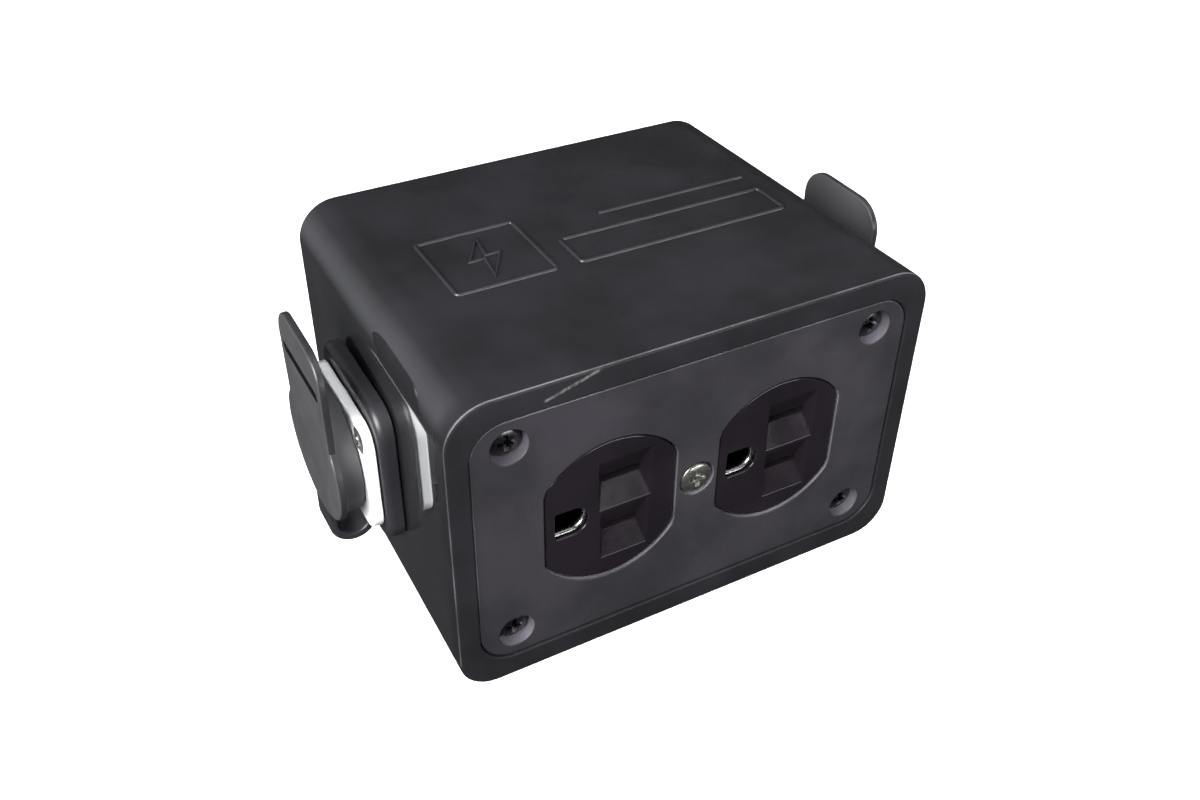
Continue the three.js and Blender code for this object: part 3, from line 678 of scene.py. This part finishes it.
# ---- raised lines on the top ----
def ridge(mesh, points, width, height, closed):
    """A raised line along points on the top surface, with a rounded crown."""
    half_section = [(0.18, 1.0), (0.36, 0.7), (0.5, 0.0), (0.5, -0.6)]
    section = [(-across, up) for across, up in reversed(half_section)] + half_section
    last = len(points) - 1
    rows = []
    for index, point in enumerate(points):
        if closed:
            before = (point - points[index - 1]).normalized()
            after = (points[(index + 1) % len(points)] - point).normalized()
        else:
            before = (points[max(index, 1)] - points[max(index, 1) - 1]).normalized()
            after = (points[min(index, last - 1) + 1] - points[min(index, last - 1)]).normalized()
        normal = Vector((-before.y, before.x)) + Vector((-after.y, after.x))
        normal = normal * (2 / max(normal.length_squared, SHARPEST_MITRE))
        row = []
        for across, up in section:
            flat = point + normal * (across * width)
            row.append(mesh.verts.new(Vector((flat.x, flat.y, body_top(flat.y) + up * height)) / MM))
        rows.append(row)
    spans = list(zip(rows, rows[1:]))
    if closed:
        spans.append((rows[-1], rows[0]))
    for first, second in spans:
        for index in range(len(section)):
            after = (index + 1) % len(section)
            mesh.faces.new((first[index], second[index], second[after], first[after]))
    if not closed:
        mesh.faces.new(rows[0])
        mesh.faces.new(list(reversed(rows[-1])))


def rounded_box_path(low, high, radius=0.8):
    """A rounded rectangle between two corners, as points."""
    outline = rounded_rectangle(high.x - low.x, high.y - low.y, radius, steps=5)
    centre = (low + high) / 2
    return [centre + point for point in outline]


def bolt_path(centre, height, half_width):
    """A plain lightning bolt, as a closed outline."""
    slant = height * 0.08
    corners = [
        (slant, height / 2), (-half_width, -slant / 2), (-slant / 4, -slant / 2),
        (-slant, -height / 2), (half_width, slant / 2), (slant / 4, slant / 2),
    ]
    return [centre + Vector(corner) for corner in corners]


def make_emblem():
    """A generic bolt in a frame, a blank label outline and a rib, raised on the top."""
    mesh = bmesh.new()
    line, raised = 0.95, 0.42
    front, right = -9.0, 40.5
    panel_low, panel_high = Vector((-35.5, front)), Vector((-13.9, 12.5))
    label_low, label_high = Vector((-8.5, front)), Vector((right, 1.0))
    rib_left, rib_depth = 4, 7.5
    ridge(mesh, rounded_box_path(panel_low, panel_high), line, raised, True)
    bolt = bolt_path((panel_low + panel_high) / 2, 15, 3.6)
    ridge(mesh, bolt, line * 0.8, raised, True)
    ridge(mesh, rounded_box_path(label_low, label_high), line, raised, True)
    ridge(mesh, [Vector((rib_left, rib_depth)), Vector((right, rib_depth))], line, raised, False)
    bmesh.ops.recalc_face_normals(mesh, faces=mesh.faces)
    emblem = as_object(mesh, "top_emblem")
    tidy(emblem, 60)
    dress(emblem, "box", "housing_rubber", raised_sheen_rubber)


# ---- cover and screws ----
def sunk_screw_cutters(place, radius, depth, edge):
    """Cutters for a screw in the cover: the wide recess for its head and the hole through."""
    front = PLATE_LOW.y
    recess = opening(circle(radius), place, front, front + depth, edge)
    hole = prism(circle(CLEARANCE_RADIUS, steps=32), place, front, PLATE_HIGH.y + PAST)
    return [recess, hole]


def make_cover():
    """The cover plate with its outlet windows and counterbored screw holes."""
    width = PLATE_HIGH.x - PLATE_LOW.x
    height = PLATE_HIGH.z - PLATE_LOW.z
    front, back = PLATE_LOW.y, PLATE_HIGH.y
    growth = 0.3
    outline = grown(rounded_rectangle(width, height, top_radius=7), growth)
    plate = as_object(prism(outline, facing_front(0, DUPLEX_Z), front, back, low_edge=0.4), "cover")
    cutters = []
    for side in (-1, 1):
        place = facing_front(side * FACE_SPACING / 2, DUPLEX_Z)
        cutters.append(opening(grown(duplex_outline(), GAP), place, front, back + PAST, edge=0.3))
    for node in COVER_SCREWS:
        centre = middle(node)
        corner = facing_front(centre.x, centre.z)
        cutters.extend(sunk_screw_cutters(corner, radius=3.8, depth=3.2, edge=0.25))
    cutters.extend(sunk_screw_cutters(facing_front(0, DUPLEX_Z), radius=4.0, depth=1.2, edge=0.2))
    combine(plate, cutters)
    tidy(plate, 30)
    dress(plate, "box", "cover_plastic", cover_plastic, "cover_plate")
    half_width = width / 2 - 1
    half_height = height / 2 - 1
    corner_reach = 6
    # wear and painted highlight: a pale line in the middle of the cover's rounded border, only above the lowest
    # third
    worn_highlight_from, worn_highlight_to = -0.9, -0.35

    def is_cut(centre, normal):
        inside = abs(centre.x) < half_width and abs(centre.z - DUPLEX_Z) < half_height
        return inside and abs(normal.y) < 0.5

    def is_worn_highlight(centre, normal):
        past_x = abs(centre.x) - half_width
        past_z = abs(centre.z - DUPLEX_Z) - half_height
        at_border = past_x > 0 or past_z > 0 or (past_x > -corner_reach and past_z > -corner_reach)
        outward = normal.x * centre.x + normal.z * (centre.z - DUPLEX_Z) > 0
        return at_border and outward and worn_highlight_from < normal.y < worn_highlight_to and centre.z > DUPLEX_Z / 3

    paint_where(plate, cut_plastic, is_cut)
    paint_where(plate, worn_highlight_rubber, is_worn_highlight)


def shank(length, radius=1.45, tip_radius=0.5, tip_length=1.6):
    """Profile of a screw's shank from its tip to the head's underside, as (radius, height) points."""
    return [(tip_radius, -length), (radius, tip_length - length), (radius, 0.0)]


def pan_head(radius, height, length, edge=0.12):
    """Profile of a pan-head screw from its tip to its crown."""
    crown = [(1.0, 0.34), (0.94, 0.62), (0.78, 0.85), (0.5, 0.97), (0.18, 1.0)]
    rounded = [(radius * share, height * rise) for share, rise in crown]
    return shank(length) + [(radius - edge, 0.0), (radius, edge)] + rounded


def flat_head(radius, height, length):
    """Profile of a countersunk screw with a slightly crowned head."""
    return shank(length) + [
        (radius - 0.15, height * 0.72), (radius, height * 0.78), (radius, height * 0.86),
        (radius - 0.12, height * 0.93), (radius * 0.5, height * 0.98), (radius * 0.18, height),
    ]


def make_screw(node, material, slot, profile, radius, height):
    """Replaces a CAD screw by a finer Phillips screw at the same place, its head facing outwards."""
    low, high = measured(node)
    centre = (low + high) / 2
    if node in FLANGE_SCREWS:
        base = facing_side(centre.y, centre.z)
        outward = 1 if centre.x > 0 else -1
        tip, top = (low.x, high.x) if centre.x > 0 else (high.x, low.x)
    else:
        base = facing_front(centre.x, centre.z)
        outward = -1
        tip, top = high.y, low.y
    seat = top - outward * height
    length = abs(top - tip) - height
    rings = []
    for distance, level in profile(radius, height, length):
        rings.append(base(circle(distance, steps=48), seat + outward * level))
    screw = as_object(loft(rings), node + "_fine")
    wide = plus_outline(radius * 0.6, radius * 0.16)
    narrow = plus_outline(radius * 0.28, radius * 0.07)
    above, bottom = height + 0.1, height * 0.1
    recess = loft([base(wide, seat + outward * above), base(narrow, seat + outward * bottom)])
    combine(screw, [recess])
    tidy(screw, 35)
    dress(screw, "box", slot, material, node)


# ---- receptacle ----
def rectangle(width, height, corner=0.35):
    """A rectangle with slightly round corners."""
    return rounded_rectangle(width, height, corner, steps=4)


def slot_cutter(centre_x, centre_z, slot_width, slot_height=1.6, funnel=2.3, flare=2.9, land=0.7):
    """A blade slot with its funnel-shaped lead-in; a narrow land parts the mouths of two slots."""
    place = facing_front(centre_x, centre_z)
    mouth = rectangle(slot_width + flare, SLOT_SPACING - land)
    rim = 0.1
    lip = 0.2
    rings = [
        place(grown(mouth, rim), FACE_FRONT - PAST),
        place(grown(mouth, rim), FACE_FRONT),
        place(mouth, FACE_FRONT + rim),
        place(rectangle(slot_width, slot_height + lip), FACE_FRONT + funnel - lip),
        place(rectangle(slot_width, slot_height), FACE_FRONT + funnel),
        place(rectangle(slot_width, slot_height), FACE_HIGH.y + PAST),
    ]
    return loft(rings)


def make_receptacle_face(neutral_width=8.8, hot_width=7.8, lip=0.5, sleeve_room=0.75):
    """Both outlet faces, with funnelled slots, and ground holes that are wider behind a lip."""
    back = FACE_HIGH.y
    width = FACE_HIGH.x - FACE_LOW.x
    height = FACE_HIGH.z - FACE_LOW.z
    flange_front = PLATE_HIGH.y + GAP
    base_place = facing_front(0, DUPLEX_Z)
    outline = rounded_rectangle(width, height, top_radius=2)
    face = as_object(prism(outline, base_place, flange_front, back, low_edge=0.3), "outlet_faces")
    raised = []
    for side in (-1, 1):
        place = facing_front(side * FACE_SPACING / 2, DUPLEX_Z)
        raised.append(prism(duplex_outline(), place, FACE_FRONT, back - 2, low_edge=0.5))
    combine(face, raised, "UNION")
    cutters = [prism(circle(CLEARANCE_RADIUS, steps=32), base_place, flange_front - PAST, back + PAST)]
    for side in (-1, 1):
        centre = side * FACE_SPACING / 2
        ground = facing_front(centre + GROUND_OFFSET, DUPLEX_Z)
        cutters.append(opening(ground_outline(), ground, FACE_FRONT, back + PAST, edge=0.25))
        sleeve_hole = grown(ground_outline(), sleeve_room)
        cutters.append(prism(sleeve_hole, ground, FACE_FRONT + lip, back + PAST))
        for up, slot_width in ((1, neutral_width), (-1, hot_width)):
            slot_z = DUPLEX_Z + up * SLOT_SPACING / 2
            cutters.append(slot_cutter(centre + SLOT_OFFSET, slot_z, slot_width))
    combine(face, cutters)
    tidy(face, 24)
    dress(face, "box", "receptacle_plastic", glossy_plastic, "receptacle_face")


def make_ground_sleeves(half_wall=0.45):
    """The metal sleeves that line the ground holes behind their lips."""
    for index, side in enumerate((-1, 1)):
        node = f"receptacle_ground_clip_{index + 1}"
        low, high = measured(node)
        place = facing_front(side * FACE_SPACING / 2 + GROUND_OFFSET, DUPLEX_Z)
        outside = prism(grown(ground_outline(), half_wall), place, low.y, high.y, low_edge=0.1)
        sleeve = as_object(outside, f"ground_sleeve_{index + 1}")
        inside = opening(grown(ground_outline(), -half_wall), place, low.y, high.y + PAST, edge=0.85)
        combine(sleeve, [inside])
        tidy(sleeve, 40)
        dress(sleeve, "box", "brass", shaded_sleeve_steel, node)


# ---- side connectors ----
def flange_screw_places():
    """A placing function for each flange screw of the right-hand connector."""
    centres = [middle(f"right_flange_screw_{number}") for number in (1, 2)]
    return [facing_side(centre.y, centre.z) for centre in centres]


def make_seal_frame(side):
    """The soft rubber frame between wall and flange."""
    width = FRAME_HIGH.y - FRAME_LOW.y
    height = FRAME_HIGH.z - FRAME_LOW.z
    place = facing_side(0, CONNECTOR_Z)
    outline = rounded_rectangle(width, height, top_radius=6)
    body = prism(outline, place, FRAME_LOW.x, FRAME_HIGH.x, low_edge=0.3, high_edge=1.6)
    seal = as_object(body, f"{side}_seal")
    cutters = [opening(circle(TUBE_RADIUS + 0.5), place, FRAME_HIGH.x, FRAME_LOW.x - PAST, edge=0.3)]
    hole = circle(CLEARANCE_RADIUS, steps=32)
    for screw_place in flange_screw_places():
        cutters.append(prism(hole, screw_place, FRAME_LOW.x - PAST, FRAME_HIGH.x + PAST))
    combine(seal, cutters)
    turn_to_side(seal, side)
    tidy(seal, 30)
    dress(seal, "box", "soft_rubber", frame_rubber, f"{side}_seal_frame")


def countersink(place, surface, depth=1.3, radius=3.0):
    """A cutter for a flat-headed screw: a cone at the surface and a clearance hole below it."""
    profile = [
        (radius + 0.5, surface + 0.5), (radius, surface),
        (CLEARANCE_RADIUS, surface - depth), (CLEARANCE_RADIUS, surface - 6),
    ]
    return turned(profile, place, 40)


def bore_keys(key_radius=0.9, angles=(35, 145, 270)):
    """Rounded keys along the wall of the right-hand bore, at angles in degrees."""
    reach = BORE_RADIUS - 0.1
    keys = []
    for angle in angles:
        turn = math.radians(angle)
        place = facing_side(reach * math.cos(turn), CONNECTOR_Z + reach * math.sin(turn))
        key = circle(key_radius, steps=20)
        keys.append(prism(key, place, INSERT_LOW.x + 4, FLANGE_HIGH.x - 4, high_edge=0.4))
    return keys


def make_flange(side):
    """The pale connector shell: flange plate, tube and bore with its keys."""
    place = facing_side(0, CONNECTOR_Z)
    outer = FLANGE_HIGH.x
    width = FLANGE_HIGH.y - FLANGE_LOW.y
    height = FLANGE_HIGH.z - FLANGE_LOW.z
    outline = rounded_rectangle(width, height, top_radius=5)
    plate = prism(outline, place, FLANGE_BACK, outer, low_edge=0.2, high_edge=0.5)
    flange = as_object(plate, f"{side}_flange")
    tube = prism(circle(TUBE_RADIUS), place, FLANGE_LOW.x, FLANGE_BACK + PAST, low_edge=0.4)
    combine(flange, [tube], "UNION")
    bore = opening(circle(BORE_RADIUS), place, outer, FLANGE_LOW.x - PAST, edge=0.6)
    combine(flange, [bore] + [countersink(hole, outer) for hole in flange_screw_places()])
    combine(flange, bore_keys(), "UNION")
    turn_to_side(flange, side)
    tidy(flange, 30)
    dress(flange, "box", "white_nylon", white_nylon, f"{side}_connector_flange")


def make_insert(side, disc_depth=3, boss_radius=6.2, contact_radius=1.6):
    """The contact carrier at the bottom of the bore."""
    place = facing_side(0, CONNECTOR_Z)
    wide = circle(BORE_RADIUS - GAP)
    disc = prism(wide, place, INSERT_LOW.x, INSERT_LOW.x + disc_depth, low_edge=0.3, high_edge=0.3)
    insert = as_object(disc, f"{side}_insert")
    boss = prism(circle(boss_radius), place, INSERT_LOW.x + disc_depth - PAST, INSERT_HIGH.x, high_edge=0.6)
    combine(insert, [boss], "UNION")
    cutters = []
    for contact in ("line", "neutral", "ground"):
        centre = middle(f"right_{contact}_contact")
        contact_place = facing_side(centre.y, centre.z)
        hole = circle(contact_radius, steps=32)
        cutters.append(opening(hole, contact_place, INSERT_HIGH.x, INSERT_LOW.x - PAST, edge=0.35))
    combine(insert, cutters)
    turn_to_side(insert, side)
    tidy(insert, 30)
    dress(insert, "box", "grey_nylon", grey_nylon, f"{side}_socket_insert")


def make_lid(side, groove_rise=20.5, groove_width=21, groove_depth=1.2):
    """The rubber lid: thin plate with its grip tab, skirt, hollow plug and a groove under the tab."""
    place = facing_side(0, CONNECTOR_Z)
    outer = LID_HIGH.x
    inner = outer - LID_THICKNESS
    plug_end = FLANGE_HIGH.x + PAST
    plate = prism(lid_outline(), place, inner, outer, low_edge=0.25, high_edge=0.6)
    lid = as_object(plate, f"{side}_cap")
    skirt = prism(circle(SKIRT_RADIUS), place, FLANGE_HIGH.x + GAP, inner + 0.5, low_edge=0.4)
    plug = prism(circle(PLUG_RADIUS), place, LID_LOW.x, plug_end, low_edge=0.6)
    combine(lid, [skirt, plug], "UNION")
    cup = opening(circle(PLUG_RADIUS - LID_THICKNESS), place, LID_LOW.x, plug_end, edge=0.4)
    groove_z = CONNECTOR_Z + groove_rise
    groove_outline = rounded_rectangle(groove_width, height=2.2, top_radius=1.05, steps=6)
    groove = opening(groove_outline, facing_side(0, groove_z), outer, outer - groove_depth, edge=0.15)
    combine(lid, [cup, groove])
    turn_to_side(lid, side)
    tidy(lid, 30)
    dress(lid, f"{side}_cover", "soft_rubber", lid_rubber, f"{side}_lid")

    # painted shade: the lid's sides get the darker frame rubber
    def is_shaded_side(centre, normal):
        return abs(centre.x) > inner + 0.05 and abs(normal.x) < 0.75

    # painted shade: the groove's walls and floor get the near-black rubber
    def is_shaded_groove(centre, normal):
        recessed = inner + 0.1 < abs(centre.x) < outer - 0.05
        return recessed and abs(centre.z - groove_z) < 1.3 and abs(centre.y) < groove_width / 2 + 0.2

    paint_where(lid, frame_rubber, is_shaded_side)
    paint_where(lid, groove_shade_rubber, is_shaded_groove)


def strap_path(loop_x=4.3, loop_z=4.4, rise=1.2, steps=32):
    """Centreline of the strap in X and Z, with its thickness, from the seal frame to the lid."""
    centre = Vector((HINGE.x, HINGE.z + STRAP_THICKNESS / 2 + loop_z))
    path = [(Vector((centre.x - loop_x, FRAME_LOW.z + rise)), STRAP_THICKNESS)]
    for point in arc((0, 0), 1, 180, 360, steps):
        path.append((centre + Vector((point.x * loop_x, point.y * loop_z)), STRAP_THICKNESS))
    lid_middle = LID_HIGH.x - LID_THICKNESS / 2
    path.append((Vector((lid_middle, LID_LOW.z)), 1.5))
    path.append((Vector((lid_middle, LID_LOW.z + 2)), 1.2))
    return path


def make_strap(side):
    """One rubber band from the box to the lid."""
    path = strap_path()
    rings = []
    for index, (point, thickness) in enumerate(path):
        before = path[max(index - 1, 0)][0]
        after = path[min(index + 1, len(path) - 1)][0]
        along = (after - before).normalized()
        normal = Vector((-along.y, along.x))
        section = rounded_rectangle(STRAP_WIDTH, thickness, top_radius=0.5, steps=4)
        rings.append([
            Vector((point.x + normal.x * p.y, p.x, point.y + normal.y * p.y)) for p in section
        ])
    strap = as_object(loft(rings), f"{side}_strap")
    turn_to_side(strap, side)
    tidy(strap, 50)
    dress(strap, None, "soft_rubber", frame_rubber)
    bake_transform(strap)
    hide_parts(f"{side}_strap_root", f"{side}_strap_tip")


# ---- CAD nodes that stay ----
def dress_inner_nodes(edge=0.12):
    """Pieces sealed inside keep their CAD shape, with softened edges and their own material."""
    slots = {part["node"]: part["material_slot"] for part in frame["record"]["subparts"]}
    for node, piece in frame["nodes"].items():
        if piece.hide_render:
            continue
        piece.data.materials.clear()
        piece.data.materials.append(SLOTS[slots[node]])
        soften(piece, edge)


# ---- stage, in metres ----
def make_floor(sunk=0.0002):
    """A plain pale floor that curves up into a backdrop far behind the object."""
    profile = [(0.02, 0.0), (2.5, 0.0), (3.2, 0.1), (3.8, 0.5), (4.1, 1.2), (4.2, 4.0)]
    mesh = bmesh.new()
    rings = []
    for radius, height in profile:
        rings.append([mesh.verts.new((point.x, point.y, height - sunk)) for point in circle(radius)])
    mesh.faces.new(rings[0])
    for inner, outer in zip(rings, rings[1:]):
        for step in range(TURN_STEPS):
            after = (step + 1) % TURN_STEPS
            mesh.faces.new((inner[step], outer[step], outer[after], inner[after]))
    floor = as_object(mesh, "floor")
    shader = Shader("pale_floor")
    shader.set(
        Base_Color=shader.blend(shader.noise(120, 3), grey(0.82), grey(0.86)),
        Roughness=0.9,
        Emission_Color=grey(1),
        Emission_Strength=0.85,
    )
    floor.data.materials.append(shader.material)
    floor.visible_glossy = False
    floor.visible_diffuse = False
    floor.visible_shadow = False


def softbox(name, direction, distance, size, power, mirrored=True):
    """A rectangular area light aimed at the object, which may be left out of reflections."""
    aim = Vector((0, 0, DUPLEX_Z / MM))
    data = bpy.data.lights.new(name, "AREA")
    data.shape = "RECTANGLE"
    data.size, data.size_y = size
    data.energy = power
    light = bpy.data.objects.new(name, data)
    toward = Vector(direction).normalized()
    light.location = aim + toward * distance
    light.rotation_euler = toward.to_track_quat("Z", "Y").to_euler()
    light.visible_glossy = mirrored
    bpy.context.scene.collection.objects.link(light)


def make_lights():
    """Soft studio light: a broad key from the left and four weaker lights that fill and edge."""
    softbox("key", (-1.0, -0.42, 0.6), 0.9, (0.6, 0.5), 23)
    softbox("near_top", (-0.1, -1.0, 0.8), 0.3, (0.2, 0.12), 1.35, mirrored=False)
    softbox("overhead", (0.5, -0.35, 1.2), 1.0, (0.8, 0.8), 3)
    softbox("low_front", (0.39, -0.9, 0.12), 0.9, (0.6, 0.16), 3.2)
    softbox("back_fill", (0.8, 0.9, 0.45), 1.0, (0.8, 0.5), 9, mirrored=False)


def make_world(glow_from=(-0.61, 0.69, 0.39), glow_edge=0.6, faint=0.06, bright=0.5):
    """A faint cool surround with a brighter, soft-edged area behind the object at the left."""
    world = bpy.data.worlds.new("studio")
    world.use_nodes = True
    tree = world.node_tree
    background = tree.nodes["Background"]
    background.inputs["Color"].default_value = (0.9, 0.93, 1.0, 1)
    direction = tree.nodes.new("ShaderNodeTexCoord").outputs["Generated"]
    closeness = tree.nodes.new("ShaderNodeVectorMath")
    closeness.operation = "DOT_PRODUCT"
    closeness.inputs[1].default_value = Vector(glow_from).normalized()
    glow = tree.nodes.new("ShaderNodeMapRange")
    glow.interpolation_type = "SMOOTHSTEP"
    glow.inputs["From Min"].default_value = glow_edge
    glow.inputs["To Min"].default_value = faint
    glow.inputs["To Max"].default_value = bright
    tree.links.new(direction, closeness.inputs[0])
    tree.links.new(closeness.outputs["Value"], glow.inputs["Value"])
    tree.links.new(glow.outputs["Result"], background.inputs["Strength"])
    bpy.context.scene.world = world


def make_camera():
    """The photograph's view: from above the front left."""
    azimuth, elevation, roll = math.radians(-29.28), math.radians(37.25), math.radians(0.9)
    distance = 0.27048
    aim_shift = Vector((-0.00123, -0.00409, -0.00544))
    aim = Vector((0, 0, DUPLEX_Z / MM)) + aim_shift
    level = math.cos(elevation)
    back = Vector((math.sin(azimuth) * level, -math.cos(azimuth) * level, math.sin(elevation)))
    data = bpy.data.cameras.new("camera")
    data.sensor_width = 36
    data.lens = 36.25
    data.clip_start = 0.01
    camera = bpy.data.objects.new("camera", data)
    camera.location = aim + back * distance
    turn = back.to_track_quat("Z", "Y").to_matrix()
    camera.rotation_euler = (turn @ Matrix.Rotation(roll, 3, "Z")).to_euler()
    bpy.context.scene.collection.objects.link(camera)
    bpy.context.scene.camera = camera


make_camera()
make_housing()
make_emblem()
make_cover()
for screw_node in COVER_SCREWS:
    make_screw(screw_node, black_screw, "black_screw", pan_head, 3.1, 1.5)
make_screw("face_screw", steel, "steel", pan_head, 3.6, 1.1)
make_receptacle_face()
make_ground_sleeves()
for name in ("right", "left"):
    make_seal_frame(name)
    make_flange(name)
    make_insert(name)
    for number in (1, 2):
        make_screw(f"{name}_flange_screw_{number}", bright_steel, "steel", flat_head, 2.8, 1.2)
    make_lid(name)
    make_strap(name)
dress_inner_nodes()
make_floor()
make_lights()
make_world()
bpy.context.scene.view_settings.view_transform = "Standard"
